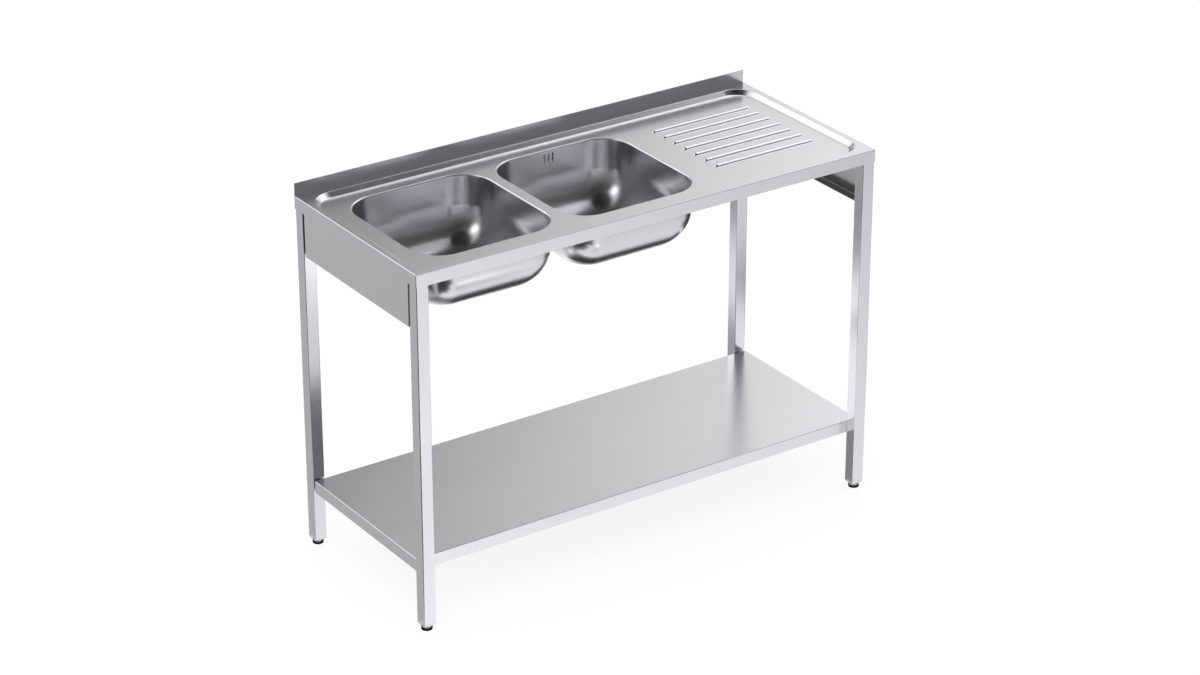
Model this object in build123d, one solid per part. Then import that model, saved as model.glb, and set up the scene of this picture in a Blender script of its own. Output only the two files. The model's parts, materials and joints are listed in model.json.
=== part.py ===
from build123d import *
import math
import os

# Stainless steel sink table: two pressed bowls on the left, a ribbed drainer on the right,
# a low rear upstand, four square legs, end panels, one bottom shelf and adjustable feet.
#
# Frame: the origin is on the floor below the middle of the table. +X runs to the right
# along the front, +Y to the back and +Z up. All sizes are in millimetres.

# ---- overall sizes
LENGTH = 1200.0
DEPTH = 500.0
RIM_Z = 850.0
UPSTAND_HEIGHT = 30.0
SKIRT_HEIGHT = 30.0
SHEET = 1.2
BEND = 1.5

# ---- sunk pan of the worktop
RECESS_DEPTH = 10.0
SLOPE = 1.1
RECESS_SIDE = 14.5
RECESS_FRONT = 20.0
RECESS_BACK = 23.0
RECESS_CORNER = 57.0
RECESS_TOP_ROUND = 2.0
RECESS_FOOT_ROUND = 4.0

# ---- bowls
BOWL_WIDTH = 340.0
BOWL_LENGTH = 360.0
BOWL_DEPTH = 150.0
BOWL_CORNER = 74.0
BOWL_FLOOR_CORNER = 22.0
BOWL_FOOT = 88.0
BOWL_SHEET = 1.0
BOWL_PITCH = 370.0
BOWL_LEFT_X = -360.0
BOWL_Y = -2.0
LIP = 6.0
LIP_ROUND = 3.0
BEAD = 3.4
DISH_DEPTH = 4.0
DISH_R = 46.0
DISH_FLOOR_R = 43.0
WASTE_HOLE_R = 27.0

# ---- drainer ribs
RIB_COUNT = 7
RIB_PITCH = 40.0
RIB_FIRST_Y = -108.0
RIB_START_X = 260.0
RIB_END_X = 534.0
RIB_WIDTH = 14.0
RIB_HEIGHT = 4.0
RIB_FOOT_ROUND = 1.5

# ---- frame
LEG = 30.0
LEG_ROUND = 2.0
LEG_BOTTOM_Z = 15.0
PANEL_BOTTOM_Z = 720.0
PANEL_FRONT_GAP = 1.2
PANEL_BACK_GAP = 7.8
PANEL_FLANGE = 28.0
PANEL_FRONT_RETURN = 9.0
PANEL_BACK_RETURN = 28.0
GUSSET = 75.0
GUSSET_SHEET = 2.0
SPIGOT = 27.4
SPIGOT_LENGTH = 40.0
SPIGOT_WALL = 2.5
LEG_SCREW_Z = 815.0
BRACKET_TIP = 18.0
SKIRT_RETURN = 10.0
RIVET_R = 4.5
RIVET_FLANGE_R = 6.0
RIVET_LENGTH = 12.0
HAT_FOOT = 15.0
STIFFENER_X = {"centre": 222.0, "drainer": 400.0}
STIFFENER_HALF_LENGTH = 205.0
STIFFENER_HALF_WIDTH = 20.0
STIFFENER_DROP = 6.0

# ---- shelf
SHELF_TOP_Z = 169.0
SHELF_EDGE = 29.0
SHELF_SHEET = 1.0
SHELF_SIDE_INSET = 3.2
SHELF_BACK_GAP = 3.8
SHELF_RETURN = 12.0
SHELF_SCREW_Z = 154.0
SHELF_HAT_HALF_LENGTH = 560.0
SHELF_HAT_HALF_WIDTH = 25.0
SHELF_HAT_LIFT = 4.0
SPACER_R = 7.0

# ---- feet
INSERT_LENGTH = 22.0
STUD_R = 5.0
STUD_TOP_Z = 62.0
RUNNING_FIT = 0.05
PAD_R = 12.5
PAD_BOTTOM_Z = 1.0
PAD_TOP_Z = 14.7
PAD_ROUND = 1.5
SHOULDER_ROUND = 3.0
STUD_SEAT_Z = 8.5
GLIDE_R = 9.5
GLIDE_HEIGHT = 2.0
GLIDE_GAP = 0.3
GLIDE_STEM_R = 3.0
CATCH_R = 3.8
CATCH_Z = 5.5
CATCH_TOP_Z = 7.0

# ---- wastes
OUTLET_R = 23.9
OUTLET_LENGTH = 14.0
OUTLET_BOTTOM_Z = 648.0
OUTLET_BORE_R = 20.0
FLANGE_R = 41.0
CUP_R = 22.5
CUP_WALL = 3.0
BARREL_R = 31.0
BARREL_WALL = 3.0
CUP_DEPTH = 12.0
CUP_FLOOR = 2.0
CUP_LEDGE = 2.5
CUP_LEDGE_DEPTH = 5.3
CUP_HOLE_COUNT = 8
CUP_HOLE_RING = 12.5
CUP_HOLE_R = 3.5
FLANGE_RIM = 2.0
UPPER_SEAL = 1.5
UPPER_SEAL_R = 39.0
LOWER_SEAL = 3.0
SEAL_CLEARANCE = 0.2
SCREW_R = 3.0
SCREW_CLEARANCE = 0.1
WASTE_HEAD_R = 5.5
WASTE_HEAD = 2.5
CLAMP_R = 38.0
CLAMP_RIM = 4.0
BARREL_FLOOR = 3.0
BOSS_R = 6.5
BOSS_HEIGHT = 16.0
ARM_HEIGHT = 6.0
ARM_HALF_WIDTH = 1.5
INLET_Z = 672.0
INLET_LENGTH = 20.0

# ---- stoppers
PLUG_SINK = 2.0
PLUG_DISC = 4.0
PLUG_GAP = 0.6
PLUG_SEAL = 3.0
PLUG_SEAL_GAP = 0.3
PLUG_BOSS_R = 12.0
STEM_R = 3.0
STEM_HEIGHT = 8.0
KNOB_R = 8.0
KNOB_HEIGHT = 6.0
KNOB_ROUND = 2.4

# ---- overflow
SLOT_COUNT = 3
SLOT_PITCH = 11.0
SLOT_WIDTH = 5.0
SLOT_LENGTH = 23.0
SLOT_Z = 820.0
HOUSING_DEPTH = 22.0
HOUSING_WALL = 2.0
HOUSING_HALF_WIDTH = 26.0
HOUSING_HALF_HEIGHT = 13.7
HOUSING_ROUND = 4.0
HOUSING_SPIGOT = 18.0
WINDOW_HALF_WIDTH = 18.0
WINDOW_HALF_HEIGHT = 12.0
SEAL_THICKNESS = 2.0
PIPE_OUTER_R = 10.0
PIPE_INNER_R = 8.0
PIPE_BEND = 32.0
PIPE_TOP_Z = 803.0
SPIGOT_PIPE_WALL = 2.0

# ---- worked out from the sizes above
HALF_LENGTH = LENGTH / 2
HALF_DEPTH = DEPTH / 2
PAN_Z = RIM_Z - RECESS_DEPTH
PAN_UNDER_Z = PAN_Z - SHEET
SKIRT_BOTTOM_Z = RIM_Z - SKIRT_HEIGHT
LEG_X = HALF_LENGTH - SHEET - LEG / 2
LEG_Y = HALF_DEPTH - SHEET - LEG / 2
LEG_INNER_Y = LEG_Y - LEG / 2
LEG_TOP_Z = PAN_UNDER_Z - GUSSET_SHEET
LIP_BOTTOM_Z = PAN_Z - LIP
BOWL_FLOOR_Z = PAN_Z - BOWL_DEPTH
DISH_Z = BOWL_FLOOR_Z - DISH_DEPTH
BOWL_X = {"left": BOWL_LEFT_X, "right": BOWL_LEFT_X + BOWL_PITCH}
BOWL_BACK_Y = BOWL_Y + BOWL_LENGTH / 2 + BOWL_SHEET
SHELF_X = HALF_LENGTH - SHELF_SIDE_INSET
SHELF_FRONT_Y = -LEG_INNER_Y
SHELF_BACK_Y = LEG_INNER_Y - SHELF_BACK_GAP
SHELF_BOTTOM_Z = SHELF_TOP_Z - SHELF_EDGE
CLAMP_Z = DISH_Z - BOWL_SHEET - LOWER_SEAL
BARREL_Z = OUTLET_BOTTOM_Z + OUTLET_LENGTH
CUP_FLOOR_Z = DISH_Z - CUP_DEPTH
DISC_Z = DISH_Z - PLUG_SINK
HOUSING_Y = BOWL_BACK_Y + SEAL_THICKNESS
PIPE_Y = HOUSING_Y + HOUSING_DEPTH / 2
CORNERS = {
    "front_left": (-1, -1),
    "front_right": (1, -1),
    "back_left": (-1, 1),
    "back_right": (1, 1),
}


# ---- plain solids

def slab(x0, x1, y0, y1, z0, z1):
    """Box between two corners."""
    centre = Pos((x0 + x1) / 2, (y0 + y1) / 2, (z0 + z1) / 2)
    return centre * Box(abs(x1 - x0), abs(y1 - y0), abs(z1 - z0))


def rod(x, y, z0, z1, radius):
    """Upright cylinder."""
    return Pos(x, y, (z0 + z1) / 2) * Cylinder(radius, z1 - z0)


def rod_y(x, z, y0, y1, radius):
    """Cylinder lying along Y."""
    return Pos(x, (y0 + y1) / 2, z) * Rot(90, 0, 0) * Cylinder(radius, abs(y1 - y0))


def ring(x, y, z0, z1, outer, inner):
    """Upright tube."""
    return rod(x, y, z0, z1, outer) - rod(x, y, z0, z1, inner)


def cone(x, y, z0, z1, low_radius, high_radius):
    """Upright cone frustum."""
    return Pos(x, y, (z0 + z1) / 2) * Cone(low_radius, high_radius, z1 - z0)


def rounded_prism(x, y, width, depth, radius, z0, z1):
    """Upright prism on a rectangle with round corners."""
    return extrude(Pos(x, y, z0) * RectangleRounded(width, depth, radius), z1 - z0)


def edges_where(part, test):
    """Edges whose middle point passes the test."""
    return part.edges().filter_by(lambda edge: test(edge.center(CenterOf.BOUNDING_BOX)))


# ---- worktop

def recess_solid(z0, z1, offset=0.0):
    """Tapered block that fits the sunk pan, grown sideways by the offset."""
    y = (RECESS_FRONT - RECESS_BACK) / 2
    sections = []
    for z in (z0, z1):
        grow = offset - SLOPE * (RIM_Z - z)
        width = LENGTH - 2 * RECESS_SIDE + 2 * grow
        depth = DEPTH - RECESS_FRONT - RECESS_BACK + 2 * grow
        sections.append(Pos(0, y, z) * RectangleRounded(width, depth, RECESS_CORNER + grow))
    return loft(sections, ruled=True)


def folded_cover():
    """Flat top with its four skirts, the returns under them and the rear upstand."""
    cover = slab(-HALF_LENGTH, HALF_LENGTH, -HALF_DEPTH, HALF_DEPTH, SKIRT_BOTTOM_Z, RIM_Z)

    def is_bend(p):
        top = p.Z > RIM_Z - 1 and p.Y < HALF_DEPTH - 1
        front_corner = p.Y < 1 - HALF_DEPTH and abs(p.X) > HALF_LENGTH - 1
        return top or front_corner

    cover = fillet(edges_where(cover, is_bend), BEND)
    inner_x = HALF_LENGTH - SHEET
    inner_y = HALF_DEPTH - SHEET
    cover -= slab(-inner_x, inner_x, -inner_y, inner_y, SKIRT_BOTTOM_Z - 1, RIM_Z - SHEET)
    return_x = HALF_LENGTH - LEG - 5
    for side in (-1, 1):
        cover += slab(-return_x, return_x, side * (inner_y - SKIRT_RETURN), side * inner_y,
                      SKIRT_BOTTOM_Z, SKIRT_BOTTOM_Z + SHEET)
    upstand = slab(-HALF_LENGTH, HALF_LENGTH, HALF_DEPTH - 2 * SHEET, HALF_DEPTH,
                   RIM_Z - 2 * BEND, RIM_Z + UPSTAND_HEIGHT)
    fold = edges_where(upstand, lambda p: p.Z > RIM_Z + UPSTAND_HEIGHT - 1 and abs(p.X) < 1)
    return cover + fillet(fold, SHEET * 0.9)


def capsule(x0, x1, y, z, radius):
    """Round bar along X with ball ends."""
    bar = Pos((x0 + x1) / 2, y, z) * Rot(0, 90, 0) * Cylinder(radius, x1 - x0)
    return bar + Pos(x0, y, z) * Sphere(radius) + Pos(x1, y, z) * Sphere(radius)


def add_ribs(sheet):
    """Drainer ribs pressed up out of the pan, hollow from below."""
    half = RIB_WIDTH / 2
    radius = (half ** 2 + RIB_HEIGHT ** 2) / (2 * RIB_HEIGHT)
    z = PAN_Z + RIB_HEIGHT - radius
    above = slab(0, HALF_LENGTH, -HALF_DEPTH, HALF_DEPTH, PAN_Z - SHEET / 2, RIM_Z)
    x0 = RIB_START_X + half
    x1 = RIB_END_X - half
    for index in range(RIB_COUNT):
        y = RIB_FIRST_Y + index * RIB_PITCH
        sheet += capsule(x0, x1, y, z, radius) & above
    feet = edges_where(sheet, lambda p: abs(p.Z - PAN_Z) < 0.01 and p.X > RIB_START_X - 1)
    sheet = fillet(feet, RIB_FOOT_ROUND)
    for index in range(RIB_COUNT):
        y = RIB_FIRST_Y + index * RIB_PITCH
        sheet -= capsule(x0, x1, y, z, radius - SHEET)
    return sheet


def add_opening(sheet, x):
    """Bowl cut-out with a rounded edge and a lip turned down to meet the bowl."""
    def prism(grow, z0, z1):
        return rounded_prism(x, BOWL_Y, BOWL_WIDTH + 2 * grow, BOWL_LENGTH + 2 * grow,
                             BOWL_CORNER + grow, z0, z1)

    sheet += prism(SHEET, LIP_BOTTOM_Z, PAN_Z - SHEET / 2)
    sheet += prism(BEAD, PAN_Z - BEAD, PAN_Z - SHEET / 2)
    sheet -= prism(0, LIP_BOTTOM_Z - 1, RIM_Z)

    def is_rim(p):
        return abs(p.Z - PAN_Z) < 0.01 and abs(p.X - x) < BOWL_WIDTH / 2 + 1

    return fillet(edges_where(sheet, is_rim), LIP_ROUND)


def make_worktop():
    slope_angle = math.atan(1 / SLOPE)
    sheet = folded_cover() + recess_solid(PAN_UNDER_Z, RIM_Z, SHEET / math.sin(slope_angle))
    sheet -= recess_solid(PAN_Z, RIM_Z + 1)
    sheet = fillet(edges_where(sheet, lambda p: abs(p.Z - PAN_Z) < 0.01), RECESS_FOOT_ROUND)

    def is_recess_edge(p):
        inside = abs(p.X) < HALF_LENGTH - BEND - 1 and abs(p.Y) < HALF_DEPTH - 2 * SHEET - 1
        return abs(p.Z - RIM_Z) < 0.01 and inside

    sheet = fillet(edges_where(sheet, is_recess_edge), RECESS_TOP_ROUND)
    sheet = add_ribs(sheet)
    for x in BOWL_X.values():
        sheet = add_opening(sheet, x)
    return sheet


def make_stiffener(x):
    """Hat channel under the pan, from front to back."""
    y = STIFFENER_HALF_LENGTH
    bottom = SKIRT_BOTTOM_Z - STIFFENER_DROP
    hat = slab(x - STIFFENER_HALF_WIDTH, x + STIFFENER_HALF_WIDTH, -y, y, bottom, bottom + SHEET)
    for side in (-1, 1):
        wall = x + side * STIFFENER_HALF_WIDTH
        hat += slab(wall - side * SHEET, wall, -y, y, bottom, PAN_UNDER_Z)
        hat += slab(wall - side * SHEET, wall + side * HAT_FOOT, -y, y,
                    PAN_UNDER_Z - SHEET, PAN_UNDER_Z)
    return hat


# ---- bowls

def bowl_block(offset):
    """Solid with the bowl's form: straight walls, a deep foot radius and a flat floor."""
    arc_z = BOWL_FLOOR_Z + BOWL_FOOT
    steps = 8
    sections = []
    for step in range(steps, -1, -1):
        angle = math.radians(90 * step / steps)
        inset = BOWL_FOOT * (1 - math.cos(angle))
        grow = offset * math.cos(angle) - inset
        corner = BOWL_CORNER - (BOWL_CORNER - BOWL_FLOOR_CORNER) * inset / BOWL_FOOT
        outline = RectangleRounded(BOWL_WIDTH + 2 * grow, BOWL_LENGTH + 2 * grow,
                                   corner + offset * math.cos(angle))
        sections.append(Pos(0, BOWL_Y, arc_z - (BOWL_FOOT + offset) * math.sin(angle)) * outline)
    walls = rounded_prism(0, BOWL_Y, BOWL_WIDTH + 2 * offset, BOWL_LENGTH + 2 * offset,
                          BOWL_CORNER + offset, arc_z, LIP_BOTTOM_Z)
    return loft(sections) + walls


def make_bowl(x, has_overflow):
    bowl = bowl_block(BOWL_SHEET)
    bowl += cone(0, BOWL_Y, DISH_Z - BOWL_SHEET, BOWL_FLOOR_Z - BOWL_SHEET / 2,
                 DISH_FLOOR_R + BOWL_SHEET, DISH_R + BOWL_SHEET)
    bowl -= bowl_block(0.0)
    bowl -= cone(0, BOWL_Y, DISH_Z, BOWL_FLOOR_Z, DISH_FLOOR_R, DISH_R)
    bowl -= rod(0, BOWL_Y, DISH_Z - 5, DISH_Z + 5, WASTE_HOLE_R)
    if has_overflow:
        for index in range(SLOT_COUNT):
            slot_x = (index - (SLOT_COUNT - 1) / 2) * SLOT_PITCH
            slot = extrude(SlotOverall(SLOT_LENGTH, SLOT_WIDTH, rotation=90), 5, both=True)
            bowl -= Pos(slot_x, BOWL_BACK_Y, SLOT_Z) * Rot(90, 0, 0) * slot
    return Pos(x, 0, 0) * bowl


# ---- frame

def make_side_panel(side):
    """End apron: a sheet flush with the skirt, turned in along the bottom and at both ends."""
    outer = side * HALF_LENGTH
    inner = side * (HALF_LENGTH - SHEET)
    y0 = PANEL_FRONT_GAP - LEG_INNER_Y
    y1 = LEG_INNER_Y - PANEL_BACK_GAP
    panel = slab(inner, outer, y0, y1, PANEL_BOTTOM_Z, SKIRT_BOTTOM_Z)
    panel += slab(outer - side * PANEL_FLANGE, outer, y0, y1,
                  PANEL_BOTTOM_Z, PANEL_BOTTOM_Z + SHEET)
    panel += slab(outer - side * PANEL_FRONT_RETURN, outer, y0, y0 + SHEET,
                  PANEL_BOTTOM_Z, SKIRT_BOTTOM_Z)
    panel += slab(outer - side * PANEL_BACK_RETURN, outer, y1 - SHEET, y1,
                  PANEL_BOTTOM_Z, SKIRT_BOTTOM_Z)
    folds = edges_where(panel, lambda p: p.Z < SKIRT_BOTTOM_Z - 0.01
                        and abs(p.X) > HALF_LENGTH - 0.01)
    return fillet(folds, SHEET * 0.8)


def make_leg(sx, sy):
    """Square tube with a screw hole near the top and a rivet-nut hole at the shelf."""
    x, y = sx * LEG_X, sy * LEG_Y
    bore = LEG - 2 * SHEET
    leg = rounded_prism(x, y, LEG, LEG, LEG_ROUND, LEG_BOTTOM_Z, LEG_TOP_Z)
    leg -= rounded_prism(x, y, bore, bore, LEG_ROUND - SHEET, LEG_BOTTOM_Z, LEG_TOP_Z)
    face = sy * LEG_INNER_Y
    leg -= rod_y(x, LEG_SCREW_Z, face, face + sy * 5, SCREW_R)
    leg -= rod_y(x, SHELF_SCREW_Z, face, face + sy * 5, RIVET_R)
    return leg


def make_corner_bracket(sx, sy):
    """Gusset plate under the pan with a hollow spigot that stands in the leg."""
    x, y = sx * LEG_X, sy * LEG_Y
    corner_x = sx * (HALF_LENGTH - SHEET)
    corner_y = sy * (HALF_DEPTH - SHEET)
    outline = Polyline(
        (corner_x, corner_y),
        (corner_x - sx * GUSSET, corner_y),
        (corner_x - sx * GUSSET, corner_y - sy * BRACKET_TIP),
        (corner_x - sx * BRACKET_TIP, corner_y - sy * GUSSET),
        (corner_x, corner_y - sy * GUSSET),
        close=True,
    )
    plate = extrude(Pos(0, 0, LEG_TOP_Z) * make_face(outline), GUSSET_SHEET, dir=(0, 0, 1))
    spigot = rounded_prism(x, y, SPIGOT, SPIGOT, 0.7, LEG_TOP_Z - SPIGOT_LENGTH, LEG_TOP_Z)
    hollow = SPIGOT - 2 * SPIGOT_WALL
    spigot -= slab(x - hollow / 2, x + hollow / 2, y - hollow / 2, y + hollow / 2,
                   LEG_TOP_Z - SPIGOT_LENGTH, LEG_TOP_Z)
    bracket = plate + spigot
    face = sy * LEG_INNER_Y
    return bracket - rod_y(x, LEG_SCREW_Z, face, face + sy * 6, SCREW_R)


def button_screw(x, z, face_y, sy, reach):
    """M6 screw along Y with a round head on the given face."""
    head = rod_y(x, z, face_y - sy * 3.3, face_y, 5.25)
    head = fillet(edges_where(head, lambda p: abs(p.Y - face_y) > 3), 2.0)
    socket = Pos(x, face_y - sy * 2.3, z) * Rot(90, 0, 0) * extrude(
        RegularPolygon(2.3, 6), 1.2, both=True)
    return head - socket + rod_y(x, z, face_y, face_y + sy * reach, SCREW_R)


def make_leg_screws():
    return [button_screw(sx * LEG_X, LEG_SCREW_Z, sy * LEG_INNER_Y, sy, 6.0)
            for sx, sy in CORNERS.values()]


# ---- shelf

def shelf_face(sy):
    """Outer Y of the shelf's front or back edge."""
    return SHELF_FRONT_Y if sy < 0 else SHELF_BACK_Y


def make_shelf():
    """Tray turned upside down, with its edges folded down and returned."""
    t = SHELF_SHEET
    shelf = slab(-SHELF_X, SHELF_X, SHELF_FRONT_Y, SHELF_BACK_Y, SHELF_BOTTOM_Z, SHELF_TOP_Z)

    def is_bend(p):
        corner = abs(p.X) > SHELF_X - 0.01 and p.Z < SHELF_TOP_Z - 1 and p.Z > SHELF_BOTTOM_Z + 1
        return corner or p.Z > SHELF_TOP_Z - 0.01

    shelf = fillet(edges_where(shelf, is_bend), BEND)
    shelf -= slab(t - SHELF_X, SHELF_X - t, SHELF_FRONT_Y + t, SHELF_BACK_Y - t,
                  SHELF_BOTTOM_Z + t, SHELF_TOP_Z - t)
    inset = t + SHELF_RETURN
    shelf -= slab(inset - SHELF_X, SHELF_X - inset, SHELF_FRONT_Y + inset,
                  SHELF_BACK_Y - inset, SHELF_BOTTOM_Z - 1, SHELF_BOTTOM_Z + t + 1)
    for sx, sy in CORNERS.values():
        face = shelf_face(sy)
        shelf -= rod_y(sx * LEG_X, SHELF_SCREW_Z, face - sy * 2, face + sy, SCREW_R)
    return shelf


def make_shelf_stiffener():
    """Hat channel along the underside of the shelf."""
    x = SHELF_HAT_HALF_LENGTH
    t = SHELF_SHEET
    top = SHELF_TOP_Z - t
    bottom = SHELF_BOTTOM_Z + SHELF_HAT_LIFT
    hat = slab(-x, x, -SHELF_HAT_HALF_WIDTH, SHELF_HAT_HALF_WIDTH, bottom, bottom + t)
    for side in (-1, 1):
        wall = side * SHELF_HAT_HALF_WIDTH
        hat += slab(-x, x, wall - side * t, wall, bottom, top)
        hat += slab(-x, x, wall - side * t, wall + side * HAT_FOOT, top - t, top)
    return hat


def make_shelf_screws():
    """M6 hexagon screws from inside the shelf's edge into the legs."""
    screws = []
    for sx, sy in CORNERS.values():
        x = sx * LEG_X
        seat = shelf_face(sy) - sy * SHELF_SHEET
        head = Pos(x, seat, SHELF_SCREW_Z) * Rot(90 * sy, 0, 0) * extrude(
            RegularPolygon(5.5, 6), 4)
        screws.append(head + rod_y(x, SHELF_SCREW_Z, seat, sy * (LEG_INNER_Y + RIVET_LENGTH), SCREW_R))
    return screws


def make_shelf_spacers():
    """Sleeves that bridge the gap between the shelf and the back legs."""
    spacers = []
    for sx in (-1, 1):
        x = sx * LEG_X
        spacers.append(rod_y(x, SHELF_SCREW_Z, SHELF_BACK_Y, LEG_INNER_Y, SPACER_R)
                       - rod_y(x, SHELF_SCREW_Z, SHELF_BACK_Y, LEG_INNER_Y, SCREW_R))
    return spacers


def make_rivet_nuts():
    """Blind rivet nuts in the legs for the shelf screws."""
    nuts = []
    for sx, sy in CORNERS.values():
        x = sx * LEG_X
        face = sy * LEG_INNER_Y
        end = face + sy * RIVET_LENGTH
        body = rod_y(x, SHELF_SCREW_Z, face, end, RIVET_R)
        body += rod_y(x, SHELF_SCREW_Z, face + sy * SHEET, face + sy * 4, RIVET_FLANGE_R)
        nuts.append(body - rod_y(x, SHELF_SCREW_Z, face, end, SCREW_R))
    return nuts


# ---- feet

def make_foot_insert(x, y):
    """Square plug pressed into the leg, with the thread for the stud."""
    bore = LEG - 2 * SHEET
    block = rounded_prism(x, y, bore, bore, LEG_ROUND - SHEET,
                          LEG_BOTTOM_Z, LEG_BOTTOM_Z + INSERT_LENGTH)
    return block - rod(x, y, LEG_BOTTOM_Z, LEG_BOTTOM_Z + INSERT_LENGTH, STUD_R + RUNNING_FIT)


def make_foot_stud(x, y):
    """Threaded stud, drawn plain, pressed into the round foot and turned with it."""
    shank = rod(x, y, STUD_SEAT_Z, STUD_TOP_Z, STUD_R)
    return chamfer(edges_where(shank, lambda p: p.Z > STUD_TOP_Z - 0.1), 1.0)


def make_foot_pad(x, y):
    """Round foot, gripped to turn the stud. Its underside takes the glide and holds its stem."""
    pad = rod(x, y, PAD_BOTTOM_Z, PAD_TOP_Z, PAD_R)
    pad = fillet(edges_where(pad, lambda p: p.Z > PAD_TOP_Z - 0.1), SHOULDER_ROUND)
    pad = fillet(edges_where(pad, lambda p: p.Z < PAD_BOTTOM_Z + 0.1), PAD_ROUND)
    pad -= rod(x, y, STUD_SEAT_Z, PAD_TOP_Z, STUD_R)
    pad -= rod(x, y, PAD_BOTTOM_Z, GLIDE_HEIGHT, GLIDE_R + GLIDE_GAP)
    pad -= rod(x, y, GLIDE_HEIGHT, CATCH_Z, GLIDE_STEM_R + GLIDE_GAP)
    return pad - rod(x, y, CATCH_Z - GLIDE_GAP, CATCH_TOP_Z + GLIDE_GAP, CATCH_R + GLIDE_GAP)


def make_foot_glide(x, y):
    """Plastic disc that stands still on the floor, with a stem snapped into the turning foot."""
    disc = rod(x, y, 0, GLIDE_HEIGHT, GLIDE_R)
    disc += rod(x, y, GLIDE_HEIGHT, CATCH_TOP_Z, GLIDE_STEM_R)
    return disc + rod(x, y, CATCH_Z, CATCH_TOP_Z, CATCH_R)


# ---- wastes

def make_waste_flange(x):
    """Steel cup with a flat rim in the bowl's dish and a perforated floor."""
    rim_z = DISH_Z + UPPER_SEAL
    top = rim_z + FLANGE_RIM
    floor_top = CUP_FLOOR_Z + CUP_FLOOR
    body = rod(x, BOWL_Y, rim_z, top, FLANGE_R)
    body += rod(x, BOWL_Y, CUP_FLOOR_Z, top, CUP_R + CUP_WALL)
    body = fillet(edges_where(body, lambda p: p.Z > top - 0.1), 1.2)
    body -= rod(x, BOWL_Y, DISH_Z - CUP_LEDGE_DEPTH, top, CUP_R)
    body -= rod(x, BOWL_Y, floor_top, top, CUP_R - CUP_LEDGE)
    body -= rod(x, BOWL_Y, CUP_FLOOR_Z, floor_top, SCREW_R + SCREW_CLEARANCE)
    for index in range(CUP_HOLE_COUNT):
        angle = 2 * math.pi * index / CUP_HOLE_COUNT
        hole_x = x + CUP_HOLE_RING * math.cos(angle)
        hole_y = BOWL_Y + CUP_HOLE_RING * math.sin(angle)
        body -= rod(hole_x, hole_y, CUP_FLOOR_Z, floor_top, CUP_HOLE_R)
    return body


def make_waste_seal(x, z0, z1, outer):
    """Rubber ring over or under the bowl's sheet."""
    return ring(x, BOWL_Y, z0, z1, outer, WASTE_HOLE_R + SEAL_CLEARANCE)


def make_waste_body(x, has_inlet):
    """Plastic body under the bowl: clamp rim, barrel and a short threaded outlet."""
    inner = BARREL_R - BARREL_WALL
    inlet_end = BOWL_Y + CLAMP_R + INLET_LENGTH
    floor_top = BARREL_Z + BARREL_FLOOR
    body = rod(x, BOWL_Y, CLAMP_Z - CLAMP_RIM, CLAMP_Z, CLAMP_R)
    body += rod(x, BOWL_Y, BARREL_Z, CLAMP_Z, BARREL_R)
    body += rod(x, BOWL_Y, OUTLET_BOTTOM_Z, BARREL_Z, OUTLET_R)
    if has_inlet:
        body += rod_y(x, INLET_Z, BOWL_Y + inner, inlet_end, PIPE_INNER_R)
        body -= rod_y(x, INLET_Z, BOWL_Y, inlet_end, PIPE_INNER_R - SPIGOT_PIPE_WALL)
    body -= rod(x, BOWL_Y, floor_top, CLAMP_Z, inner)
    body -= rod(x, BOWL_Y, OUTLET_BOTTOM_Z, floor_top, OUTLET_BORE_R)
    boss_z = OUTLET_BOTTOM_Z + 2
    boss = rod(x, BOWL_Y, boss_z, boss_z + BOSS_HEIGHT, BOSS_R)
    arm = OUTLET_BORE_R + 1
    boss += slab(x - arm, x + arm, BOWL_Y - ARM_HALF_WIDTH, BOWL_Y + ARM_HALF_WIDTH,
                 boss_z, boss_z + ARM_HEIGHT)
    boss -= rod(x, BOWL_Y, boss_z, boss_z + BOSS_HEIGHT, SCREW_R)
    return body + boss


def make_waste_screw(x):
    """M6 screw that clamps the steel cup to the plastic body through the bowl."""
    seat = CUP_FLOOR_Z + CUP_FLOOR
    top = seat + WASTE_HEAD
    head = rod(x, BOWL_Y, seat, top, WASTE_HEAD_R)
    head -= slab(x - 4, x + 4, BOWL_Y - 0.6, BOWL_Y + 0.6, seat + 1.2, top)
    return head + rod(x, BOWL_Y, OUTLET_BOTTOM_Z + 4, seat, SCREW_R)


def make_plug(x):
    """Lift-out stopper: disc, stem and knob."""
    disc_top = DISC_Z + PLUG_DISC
    stem_top = disc_top + STEM_HEIGHT
    plug = rod(x, BOWL_Y, DISC_Z, disc_top, CUP_R - PLUG_GAP)
    plug += rod(x, BOWL_Y, DISC_Z - PLUG_SEAL, DISC_Z, PLUG_BOSS_R)
    plug += rod(x, BOWL_Y, disc_top, stem_top, STEM_R)
    knob = rod(x, BOWL_Y, stem_top - 1, stem_top - 1 + KNOB_HEIGHT, KNOB_R)
    return plug + fillet(knob.edges().filter_by(GeomType.CIRCLE), KNOB_ROUND)


def make_plug_seal(x):
    """Rubber ring under the stopper's disc."""
    return ring(x, BOWL_Y, DISC_Z - PLUG_SEAL, DISC_Z, CUP_R - PLUG_SEAL_GAP, PLUG_BOSS_R)


# ---- overflow of the right bowl

def make_overflow_seal(x):
    """Rubber frame round the overflow slots."""
    seal = slab(x - HOUSING_HALF_WIDTH, x + HOUSING_HALF_WIDTH, BOWL_BACK_Y, HOUSING_Y,
                SLOT_Z - HOUSING_HALF_HEIGHT, SLOT_Z + HOUSING_HALF_HEIGHT)
    return seal - slab(x - WINDOW_HALF_WIDTH, x + WINDOW_HALF_WIDTH, BOWL_BACK_Y, HOUSING_Y,
                       SLOT_Z - WINDOW_HALF_HEIGHT, SLOT_Z + WINDOW_HALF_HEIGHT)


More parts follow.
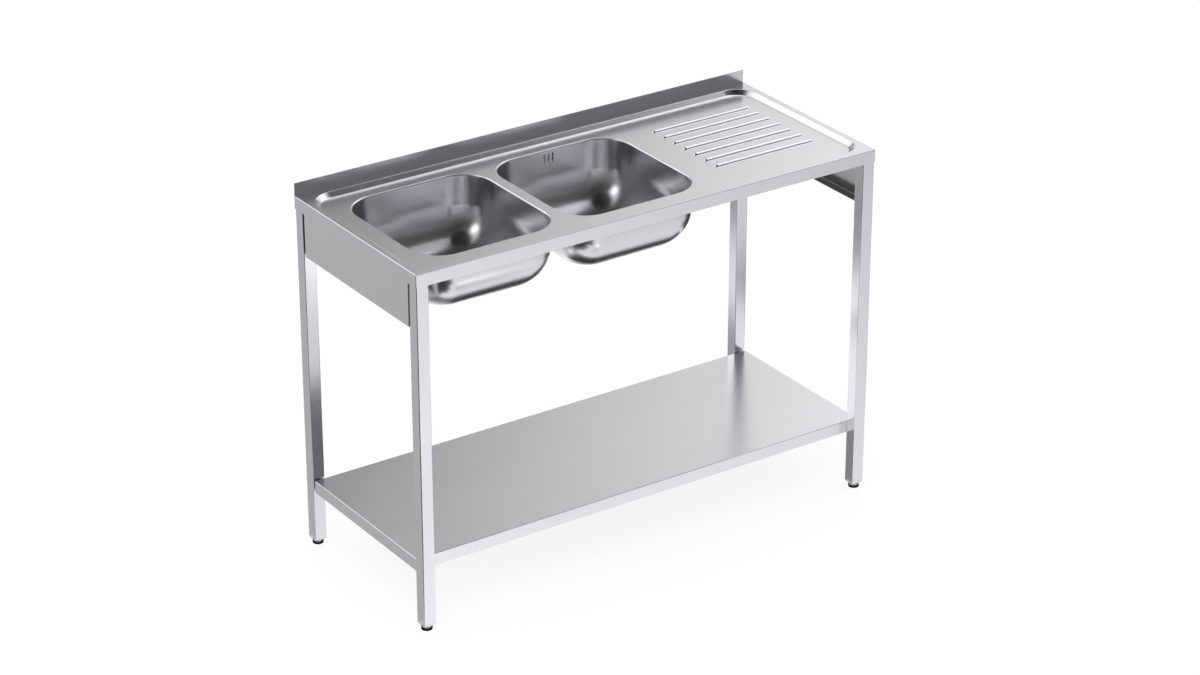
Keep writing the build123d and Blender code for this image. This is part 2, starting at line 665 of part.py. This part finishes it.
def make_overflow_housing(x):
    """Plastic box behind the slots with a spigot at the bottom."""
    z0, z1 = SLOT_Z - HOUSING_HALF_HEIGHT, SLOT_Z + HOUSING_HALF_HEIGHT
    y1 = HOUSING_Y + HOUSING_DEPTH
    w = HOUSING_WALL
    hollow = HOUSING_HALF_WIDTH - w
    box = slab(x - HOUSING_HALF_WIDTH, x + HOUSING_HALF_WIDTH, HOUSING_Y, y1, z0, z1)
    box = fillet(edges_where(box, lambda p: p.Y > y1 - 0.01), HOUSING_ROUND)
    box += rod(x, PIPE_Y, z0 - HOUSING_SPIGOT, z0 + w / 2, PIPE_INNER_R)
    box -= slab(x - hollow, x + hollow, HOUSING_Y, y1 - w, z0 + w, z1 - w)
    return box - rod(x, PIPE_Y, z0 - HOUSING_SPIGOT, z0 + w, PIPE_INNER_R - SPIGOT_PIPE_WALL)


def make_overflow_pipe(x):
    """Bent pipe from the housing down and forward to the waste body."""
    top = Vector(x, PIPE_Y, PIPE_TOP_Z)
    bend_top = Vector(x, PIPE_Y, INLET_Z + PIPE_BEND)
    bend_end = Vector(x, PIPE_Y - PIPE_BEND, INLET_Z)
    end = Vector(x, BOWL_Y + CLAMP_R + 1, INLET_Z)
    path = Line(top, bend_top)
    path += TangentArc(bend_top, bend_end, tangent=(0, 0, -1))
    path += Line(bend_end, end)
    outer = sweep(Plane(top, z_dir=(0, 0, -1)) * Circle(PIPE_OUTER_R), path=path)
    inner = sweep(Plane(top, z_dir=(0, 0, -1)) * Circle(PIPE_INNER_R), path=path)
    return outer - inner


# ---- nodes

def build_nodes():
    nodes = {
        "worktop": make_worktop(),
        "side_panel_left": make_side_panel(-1),
        "side_panel_right": make_side_panel(1),
        "leg_screws": make_leg_screws(),
        "shelf": make_shelf(),
        "shelf_stiffener": make_shelf_stiffener(),
        "shelf_screws": make_shelf_screws(),
        "shelf_spacers": make_shelf_spacers(),
        "leg_rivet_nuts": make_rivet_nuts(),
    }
    for name, x in STIFFENER_X.items():
        nodes[f"stiffener_{name}"] = make_stiffener(x)
    for name, (sx, sy) in CORNERS.items():
        x, y = sx * LEG_X, sy * LEG_Y
        nodes[f"leg_{name}"] = make_leg(sx, sy)
        nodes[f"corner_bracket_{name}"] = make_corner_bracket(sx, sy)
        nodes[f"foot_insert_{name}"] = make_foot_insert(x, y)
        nodes[f"foot_stud_{name}"] = make_foot_stud(x, y)
        nodes[f"foot_pad_{name}"] = make_foot_pad(x, y)
        nodes[f"foot_glide_{name}"] = make_foot_glide(x, y)
    for side, x in BOWL_X.items():
        overflow = side == "right"
        nodes[f"bowl_{side}"] = make_bowl(x, overflow)
        nodes[f"waste_flange_{side}"] = make_waste_flange(x)
        nodes[f"waste_seal_upper_{side}"] = make_waste_seal(
            x, DISH_Z, DISH_Z + UPPER_SEAL, UPPER_SEAL_R)
        nodes[f"waste_seal_lower_{side}"] = make_waste_seal(
            x, CLAMP_Z, CLAMP_Z + LOWER_SEAL, CLAMP_R)
        nodes[f"waste_body_{side}"] = make_waste_body(x, overflow)
        nodes[f"waste_screw_{side}"] = make_waste_screw(x)
        nodes[f"plug_{side}"] = make_plug(x)
        nodes[f"plug_seal_{side}"] = make_plug_seal(x)
    nodes["overflow_seal"] = make_overflow_seal(BOWL_X["right"])
    nodes["overflow_housing"] = make_overflow_housing(BOWL_X["right"])
    nodes["overflow_pipe"] = make_overflow_pipe(BOWL_X["right"])
    return nodes


os.makedirs("parts", exist_ok=True)
for node, shape in build_nodes().items():
    solid = Compound(children=shape) if isinstance(shape, list) else shape
    solid.label = node
    export_step(solid, f"parts/{node}.step")
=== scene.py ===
import json
import math

import bmesh
import bpy
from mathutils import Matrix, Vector

# Looks of the stainless steel sink table: finishes, studio and camera. Metres, row frame.

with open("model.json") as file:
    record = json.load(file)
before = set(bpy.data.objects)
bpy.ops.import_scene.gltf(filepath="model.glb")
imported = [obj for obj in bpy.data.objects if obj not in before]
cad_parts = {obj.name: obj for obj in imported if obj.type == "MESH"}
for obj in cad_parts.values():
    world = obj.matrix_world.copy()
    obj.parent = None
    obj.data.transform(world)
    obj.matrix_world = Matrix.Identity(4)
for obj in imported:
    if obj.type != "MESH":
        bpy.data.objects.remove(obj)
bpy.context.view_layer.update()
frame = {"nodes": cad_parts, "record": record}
nodes = frame["nodes"]
scene = bpy.context.scene
scene.view_settings.view_transform = "Standard"


# ---- camera, at the photograph's angle

CAMERA_PLACE = (-3.9568, -5.8499, 3.8262)
CAMERA_PITCH = 25.559
CAMERA_YAW = 34.262
CAMERA_LENS = 104.78
CAMERA_SENSOR = 36.0
CAMERA_REACH = (0.1, 100.0)


def make_camera():
    """Long lens, in front of the table, to its left and above it."""
    data = bpy.data.cameras.new("camera")
    data.sensor_width = CAMERA_SENSOR
    data.lens = CAMERA_LENS
    data.clip_start, data.clip_end = CAMERA_REACH
    camera = bpy.data.objects.new("camera", data)
    camera.location = CAMERA_PLACE
    camera.rotation_euler = (math.radians(90 - CAMERA_PITCH), 0.0, math.radians(-CAMERA_YAW))
    scene.collection.objects.link(camera)
    scene.camera = camera


# ---- node helpers

NOISE_ROUGHNESS = 0.55


def new_material(name):
    """Material with an empty tree but for its output."""
    material = bpy.data.materials.new(name)
    material.use_nodes = True
    tree = material.node_tree
    tree.nodes.clear()
    output = tree.nodes.new("ShaderNodeOutputMaterial")
    return material, tree, output


def stretched_noise(tree, stretch, detail):
    """Noise in the row frame, stretched by its cell counts per metre along X, Y and Z."""
    place = tree.nodes.new("ShaderNodeTexCoord")
    mapping = tree.nodes.new("ShaderNodeMapping")
    mapping.inputs["Scale"].default_value = stretch
    noise = tree.nodes.new("ShaderNodeTexNoise")
    noise.inputs["Scale"].default_value = 1.0
    noise.inputs["Detail"].default_value = detail
    noise.inputs["Roughness"].default_value = NOISE_ROUGHNESS
    tree.links.new(place.outputs["Object"], mapping.inputs["Vector"])
    tree.links.new(mapping.outputs["Vector"], noise.inputs["Vector"])
    return noise.outputs["Fac"]


def combine(tree, operation, first, second):
    """Sum, product or larger one of two values. Each is a socket or a number."""
    node = tree.nodes.new("ShaderNodeMath")
    node.operation = operation
    for slot, value in enumerate((first, second)):
        if isinstance(value, float):
            node.inputs[slot].default_value = value
        else:
            tree.links.new(value, node.inputs[slot])
    return node.outputs["Value"]


def shader_blend(tree, share, first, second):
    """Mix of two shaders. The share is that of the second."""
    mix = tree.nodes.new("ShaderNodeMixShader")
    tree.links.new(share, mix.inputs["Fac"])
    tree.links.new(first, mix.inputs[1])
    tree.links.new(second, mix.inputs[2])
    return mix.outputs["Shader"]


def plain_light(tree, kind, level):
    """Emission or background of one neutral level."""
    node = tree.nodes.new(kind)
    node.inputs["Color"].default_value = (level, level, level, 1.0)
    return node.outputs[0]


def roughen(tree, shader, height, strength, depth):
    """Fine relief on a shader's normal."""
    relief = tree.nodes.new("ShaderNodeBump")
    relief.inputs["Strength"].default_value = strength
    relief.inputs["Distance"].default_value = depth
    tree.links.new(height, relief.inputs["Height"])
    tree.links.new(relief.outputs["Normal"], shader.inputs["Normal"])


def spread(tree, value, low, high, start=0.3, end=0.7):
    """Maps part of a value's span, by default the middle of a noise, onto a range."""
    node = tree.nodes.new("ShaderNodeMapRange")
    node.inputs["From Min"].default_value = start
    node.inputs["From Max"].default_value = end
    node.inputs["To Min"].default_value = low
    node.inputs["To Max"].default_value = high
    tree.links.new(value, node.inputs["Value"])
    return node.outputs["Result"]


def colour_blend(tree, value, dark, light):
    """Colour between a dark and a light one, steered by a value from 0 to 1."""
    mix = tree.nodes.new("ShaderNodeMix")
    mix.data_type = "RGBA"
    mix.inputs["A"].default_value = (*dark, 1.0)
    mix.inputs["B"].default_value = (*light, 1.0)
    tree.links.new(value, mix.inputs["Factor"])
    return mix.outputs["Result"]


# ---- finishes

# Spans are the darkest and the lightest share of a colour, swings the change of roughness, and
# grains the noise's cells per metre along X, Y and Z.
STEEL_TINT = (1.0, 0.992, 1.035)
STEEL_SPAN = (0.985, 1.01)
STEEL_SWING = 0.03
STEEL_DEPTH = 0.00004
ALONG_X = (6.0, 700.0, 700.0)
ALONG_Y = (700.0, 6.0, 700.0)
ALONG_Z = (700.0, 700.0, 6.0)
EVEN = (160.0, 160.0, 160.0)
CLOUDS = (5.0, 5.0, 5.0)
SHELF_LEVEL = 0.20
PANEL_LEVEL = 0.70
MOULD_SPAN = (0.88, 1.08)
MOULD_SWING = 0.12
MOULD_RELIEF = 0.3
MOULD_DEPTH = 0.00006
MOULD_GRAIN = (900.0, 900.0, 900.0)


def low_down(tree, extra):
    """A value that is zero at the top and grows to the extra one towards the shelf."""
    place = tree.nodes.new("ShaderNodeTexCoord")
    axes = tree.nodes.new("ShaderNodeSeparateXYZ")
    tree.links.new(place.outputs["Object"], axes.inputs["Vector"])
    return spread(tree, axes.outputs["Z"], extra, 0.0, SHELF_LEVEL, PANEL_LEVEL)


def steel(name, tone, roughness, grain, bump=0.05, low_extra=0.0):
    """Stainless steel: a fine grain along the sheet, and broad faint cloudiness."""
    material, tree, output = new_material(name)
    shader = tree.nodes.new("ShaderNodeBsdfPrincipled")
    shader.inputs["Metallic"].default_value = 1.0
    fine = stretched_noise(tree, grain, detail=3.0)
    cloud = stretched_noise(tree, CLOUDS, detail=2.0)
    dark, light = ([tone * share * t for t in STEEL_TINT] for share in STEEL_SPAN)
    colour = colour_blend(tree, spread(tree, fine, 0.0, 1.0), dark, light)
    tree.links.new(colour, shader.inputs["Base Color"])
    rough = combine(tree, "ADD",
                    spread(tree, fine, roughness - STEEL_SWING / 2, roughness + STEEL_SWING / 2),
                    spread(tree, cloud, -STEEL_SWING / 4, STEEL_SWING / 4))
    if low_extra:
        rough = combine(tree, "ADD", rough, low_down(tree, low_extra))
    tree.links.new(rough, shader.inputs["Roughness"])
    roughen(tree, shader, fine, bump, STEEL_DEPTH)
    tree.links.new(shader.outputs["BSDF"], output.inputs["Surface"])
    return material


def moulded(name, colour, roughness):
    """Plastic or rubber with a fine moulded texture."""
    material, tree, output = new_material(name)
    shader = tree.nodes.new("ShaderNodeBsdfPrincipled")
    fine = stretched_noise(tree, MOULD_GRAIN, detail=2.0)
    dark, light = ([c * share for c in colour] for share in MOULD_SPAN)
    tone = colour_blend(tree, spread(tree, fine, 0.0, 1.0), dark, light)
    tree.links.new(tone, shader.inputs["Base Color"])
    rough = spread(tree, fine, roughness - MOULD_SWING / 2, roughness + MOULD_SWING / 2)
    tree.links.new(rough, shader.inputs["Roughness"])
    roughen(tree, shader, fine, MOULD_RELIEF, MOULD_DEPTH)
    tree.links.new(shader.outputs["BSDF"], output.inputs["Surface"])
    return material


finishes = {
    "satin_steel": steel("satin_steel", 0.76, 0.22, ALONG_X, bump=0.02, low_extra=0.02),
    "tube_steel": steel("tube_steel", 0.76, 0.22, ALONG_Z),
    "drawn_steel": steel("drawn_steel", 0.70, 0.25, EVEN, bump=0.01),
    "inner_steel": steel("inner_steel", 0.62, 0.38, ALONG_Y),
    "fastener_steel": steel("fastener_steel", 0.66, 0.24, EVEN),
    "polished_foot": steel("polished_foot", 0.74, 0.10, EVEN, bump=0.02),
    "polished_waste": steel("polished_waste", 0.74, 0.12, EVEN, bump=0.02),
    "insert_plastic": moulded("insert_plastic", (0.035, 0.035, 0.036), 0.5),
    "glide_plastic": moulded("glide_plastic", (0.06, 0.06, 0.062), 0.45),
    "waste_plastic": moulded("waste_plastic", (0.72, 0.72, 0.70), 0.42),
    "seal_rubber": moulded("seal_rubber", (0.03, 0.03, 0.03), 0.62),
}


def dress_nodes():
    """Every node gets the finish of its record slot."""
    slots = {row["node"]: row["material_slot"] for row in frame["record"]["subparts"]}
    for name, node in nodes.items():
        node.data.materials.clear()
        node.data.materials.append(finishes[slots[name]])


# ---- studio

CARD_STEPS = 10
DOME_RADIUS = 9.0
DOME_HEIGHT = 0.5
FLOOR_REACH = 30.0
FLOOR_TONE = 0.86
FLOOR_GLOW_SHARE = 0.85
LAYER_GAP = 0.0001
SOFT_LEVEL = 1.3
LAMP_PLACE = Vector((-2.5, -2.5, 4.2))
LAMP_TARGET = Vector((0.0, 0.0, 0.5))
LAMP_SIDE = 3.0
LAMP_POWER = 60.0
# Painted shade on the floor at the front left, seen only in reflections: its spans along X, each
# with the place along Y where it ends.
STEP_START = -2.2
STEP_ENDS = {(-0.62, -0.46): -0.55, (-0.46, -0.34): -0.80, (-0.34, -0.20): -1.10}
# Painted highlights from glints in front of the bowls, painted shade from black cards over the left
# panel's slits, and painted contact shadows under the feet.
GLINT_Y = -0.86
GLINT_Z = (0.10, 0.25)
SLIT_Z = (0.722, 0.819)
OUTER_SHADE_X = -0.6004
FOOT_X = 0.5838
FOOT_Y = 0.2338
CONTACT_HALF = 0.036


def make_glow(name, colour, one_sided=False):
    """Light of the cards, from the level that each point of a card carries. One-sided cards are
    clear from below."""
    material, tree, output = new_material(name)
    material.cycles.emission_sampling = "NONE"
    glow = tree.nodes.new("ShaderNodeEmission")
    glow.inputs["Color"].default_value = (*colour, 1.0)
    level = tree.nodes.new("ShaderNodeAttribute")
    level.attribute_name = "level"
    tree.links.new(level.outputs["Fac"], glow.inputs["Strength"])
    light = glow.outputs["Emission"]
    if one_sided:
        surface = tree.nodes.new("ShaderNodeNewGeometry")
        clear = tree.nodes.new("ShaderNodeBsdfTransparent")
        light = shader_blend(tree, surface.outputs["Backfacing"], light, clear.outputs["BSDF"])
    tree.links.new(light, output.inputs["Surface"])
    return material


plain_glow = make_glow("plain_glow", (1.0, 1.0, 1.0))
warm_glow = make_glow("warm_glow", (1.0, 1.0, 0.985))
shade_glow = make_glow("shade_glow", (1.0, 1.0, 1.0), one_sided=True)


def plain(level):
    """The same level at all four corners."""
    return (level,) * 4


def between(ends, share):
    """Value at a share of the way from one end to the other."""
    return ends[0] + (ends[1] - ends[0]) * share


def card(name, place_of, levels, glow=plain_glow, bump=0.0):
    """Card seen only in reflections. The levels are those of its corners, where (u, v) is (0, 0),
    (1, 0), (0, 1) and (1, 1). The bump is added in its middle and fades to nothing at its edges."""
    mesh = bpy.data.meshes.new(name)
    places, point_levels = [], []
    for j in range(CARD_STEPS + 1):
        for i in range(CARD_STEPS + 1):
            u, v = i / CARD_STEPS, j / CARD_STEPS
            places.append(place_of(u, v))
            start, end = between(levels[:2], u), between(levels[2:], u)
            swell = bump * math.sin(math.pi * u) * math.sin(math.pi * v)
            point_levels.append(max(0.0, between((start, end), v) + swell))
    row = CARD_STEPS + 1
    faces = [(j * row + i, j * row + i + 1, (j + 1) * row + i + 1, (j + 1) * row + i)
             for j in range(CARD_STEPS) for i in range(CARD_STEPS)]
    mesh.from_pydata(places, [], faces)
    mesh.attributes.new("level", "FLOAT", "POINT").data.foreach_set("value", point_levels)
    board = bpy.data.objects.new(name, mesh)
    board.data.materials.append(glow)
    board.visible_camera = False
    board.visible_diffuse = False
    board.visible_shadow = False
    scene.collection.objects.link(board)


def screen(name, azimuths, elevations, levels, radius=DOME_RADIUS, glow=plain_glow, bump=0.0):
    """Part of a dome round the table. Azimuth 0 is behind it (+Y), 90 on its right (+X)."""
    def place_of(u, v):
        azimuth = math.radians(between(azimuths, u))
        elevation = math.radians(between(elevations, v))
        flat = radius * math.cos(elevation)
        return (flat * math.sin(azimuth), flat * math.cos(azimuth),
                DOME_HEIGHT + radius * math.sin(elevation))
    card(name, place_of, levels, glow, bump)


def sheet(name, xs, ys, levels, height, glow=plain_glow, bump=0.0):
    """Card that lies level, like a ceiling or a floor."""
    card(name, lambda u, v: (between(xs, u), between(ys, v), height), levels, glow, bump)


def floor_shading_card(name, xs, ys, levels, layer=3, bump=0.0):
    """Level card just over the floor, for painted light and shade on the floor that only
    reflections show. A higher layer covers the lower ones.
    """
    sheet(name, xs, ys, levels, layer * LAYER_GAP, bump=bump)


def upright(name, xs, y, zs, level, bump):
    """Upright card from left to right, lightest in its middle."""
    card(name, lambda u, v: (between(xs, u), y, between(zs, v)), plain(level), bump=bump)


def shade_card(name, x, ys, zs):
    """Upright black card from front to back, painted shade seen only in reflections."""
    card(name, lambda u, v: (x, between(ys, u), between(zs, v)), plain(0.0))


def make_floor():
    """Pale floor that keeps a faint shadow, and is near white in view and in reflections."""
    mesh = bpy.data.meshes.new("floor")
    shape = bmesh.new()
    bmesh.ops.create_grid(shape, x_segments=1, y_segments=1, size=FLOOR_REACH)
    shape.to_mesh(mesh)
    shape.free()
    floor = bpy.data.objects.new("floor", mesh)
    scene.collection.objects.link(floor)
    material, tree, output = new_material("pale_floor")
    matt = tree.nodes.new("ShaderNodeBsdfDiffuse")
    matt.inputs["Color"].default_value = (FLOOR_TONE, FLOOR_TONE, FLOOR_TONE, 1.0)
    glow = plain_light(tree, "ShaderNodeEmission", 1.0)
    path = tree.nodes.new("ShaderNodeLightPath").outputs
    seen = combine(tree, "MAXIMUM", path["Is Camera Ray"], path["Is Glossy Ray"])
    share = combine(tree, "MULTIPLY", seen, FLOOR_GLOW_SHARE)
    mix = shader_blend(tree, share, matt.outputs["BSDF"], glow)
    tree.links.new(mix, output.inputs["Surface"])
    floor.data.materials.append(material)


def make_world():
    """White behind the table and in reflections, and a plain level of soft light."""
    world = bpy.data.worlds.new("studio")
    scene.world = world
    world.use_nodes = True
    tree = world.node_tree
    tree.nodes.clear()
    output = tree.nodes.new("ShaderNodeOutputWorld")
    white = plain_light(tree, "ShaderNodeBackground", 1.0)
    soft = plain_light(tree, "ShaderNodeBackground", SOFT_LEVEL)
    path = tree.nodes.new("ShaderNodeLightPath").outputs
    sharp = combine(tree, "MAXIMUM", path["Is Glossy Ray"], path["Is Transmission Ray"])
    seen = combine(tree, "MAXIMUM", path["Is Camera Ray"], sharp)
    tree.links.new(shader_blend(tree, seen, soft, white), output.inputs["Surface"])


def make_key_lamp():
    """Soft light from the front left, for the plastics and the floor. The steel doesn't show it."""
    data = bpy.data.lights.new("key_lamp", "AREA")
    data.shape = "RECTANGLE"
    data.size = LAMP_SIDE
    data.size_y = LAMP_SIDE
    data.energy = LAMP_POWER
    lamp = bpy.data.objects.new("key_lamp", data)
    lamp.location = LAMP_PLACE
    lamp.rotation_euler = (LAMP_TARGET - LAMP_PLACE).to_track_quat("-Z", "Y").to_euler()
    lamp.visible_camera = False
    lamp.visible_glossy = False
    scene.collection.objects.link(lamp)


def make_dome():
    """Screens for the steel to reflect: dark above and in front, with lamps at both sides and
    behind."""
    screen("overhead", (0.0, 360.0), (64.0, 90.0), plain(0.02))
    screen("front_dusk", (112.0, 262.0), (2.0, 34.0), plain(0.22))
    screen("front_dark", (112.0, 262.0), (34.0, 64.0), (0.14, 0.14, 0.01, 0.01))
    screen("left_dusk", (262.0, 300.0), (2.0, 64.0), (0.40, 0.45, 0.25, 0.30))
    screen("left_lamp", (264.0, 301.0), (36.0, 68.0), (0.10, 0.30, 0.10, 0.30),
           radius=8.0, bump=2.8)
    screen("left_softbox", (-50.0, 2.0), (14.0, 54.0), (1.9, 1.3, 1.25, 1.25), radius=7.0)
    screen("right_softbox", (81.0, 111.0), (34.0, 63.0), (2.0, 2.0, 0.9, 0.9), radius=8.0)
    screen("back_dusk", (2.0, 24.0), (13.0, 33.0), (0.10, 0.14, 0.16, 0.24), glow=warm_glow)
    screen("back_rise", (24.0, 42.0), (13.0, 33.0), (0.13, 0.90, 0.22, 1.00), glow=warm_glow)
    screen("back_high", (10.0, 60.0), (36.0, 58.0), (0.2, 2.2, 0.2, 2.2))


def paint_floor_shading():
    """Painted light and shade on the floor, seen only as the table reflects them. The floor itself
    is plain and pale.
    """
    floor_shading_card("front_floor", (-0.62, 3.6), (-4.5, -0.27), (1.11, 0.35, 1.12, 0.50))
    floor_shading_card("front_left_floor", (-4.0, -0.62), (-4.5, -0.30), plain(0.04))
    for xs, end in STEP_ENDS.items():
        floor_shading_card("front_left_step", xs, (STEP_START, end), plain(0.04), layer=5)
    floor_shading_card("far_left_floor", (-6.0, -0.80), (0.75, 6.0), (0.54, 0.50, 0.64, 0.64))
    floor_shading_card("back_left_floor", (-0.80, -0.10), (0.75, 6.0), (0.46, 0.10, 0.64, 0.60))
    floor_shading_card("left_floor", (-6.0, -0.602), (-0.30, 0.75), (0.50, 0.50, 0.52, 0.52))
    floor_shading_card("right_floor", (1.0, 6.0), (-0.50, 6.0), plain(0.03))
    # Painted shadow of the table on the floor beneath it, seen only in reflections.
    floor_shading_card("under_table_shadow", (-0.20, 0.60), (-0.235, 0.38), (0.28, 0.28, 0.30, 0.30), layer=2)
    # Painted shadow of the table on the floor behind it, seen only in reflections.
    floor_shading_card("back_right_shadow", (0.22, 0.60), (0.42, 0.85), (0.36, 0.36, 0.42, 0.42), layer=2)
    # Painted pool of light on the floor behind the table, and painted shade on the floor in front
    # of it.
    floor_shading_card("back_floor_swell", (-0.12, 0.20), (0.42, 0.74), plain(0.9), layer=4, bump=0.9)
    floor_shading_card("front_floor_dip", (-0.18, 0.24), (-0.95, -0.50), plain(1.0), layer=5, bump=-0.4)


def place_bowl_cards():
    """Black cards that paint shade into the bowls' reflections as dark bands along their lower
    edges, and glint cards that paint a highlight on each bowl's front.
    """
    sheet("shelf_shade", (-0.25, 0.24), (-0.20, 0.20), plain(0.03), 0.18, glow=shade_glow)
    sheet("bowl_shade", (-0.10, 0.31), (-0.17, -0.05), plain(0.03), 0.55, glow=shade_glow)
    upright("glint_left", (-0.41, -0.30), GLINT_Y, GLINT_Z, 1.0, 2.4)
    upright("glint_right", (0.00, 0.12), GLINT_Y, GLINT_Z, 1.0, 3.0)


def place_panel_cards():
    """Painted shade: black cards in and over the slits beside the left panel, and a dark card over
    the right panel's bottom flange, seen only in reflections.
    """
    shade_card("slit_shade", -0.5935, (0.2112, 0.2186), SLIT_Z)
    shade_card("slit_outer_shade", OUTER_SHADE_X, (0.2106, 0.2205), SLIT_Z)
    shade_card("seam_shade", OUTER_SHADE_X, (-0.2190, -0.2176), SLIT_Z)
    sheet("panel_shade", (0.573, 0.597), (-0.200, 0.205), plain(0.06), 0.7245)


def place_contact_cards():
    """Painted contact shadows under the feet: dark spots on the floor that only the feet's
    reflections show.
    """
    for x in (-FOOT_X, FOOT_X):
        for y in (-FOOT_Y, FOOT_Y):
            floor_shading_card("contact", (x - CONTACT_HALF, x + CONTACT_HALF),
                       (y - CONTACT_HALF, y + CONTACT_HALF), plain(0.8), layer=6, bump=-1.5)


make_camera()
make_world()
make_floor()
dress_nodes()
make_dome()
paint_floor_shading()
place_bowl_cards()
place_panel_cards()
place_contact_cards()
make_key_lamp()
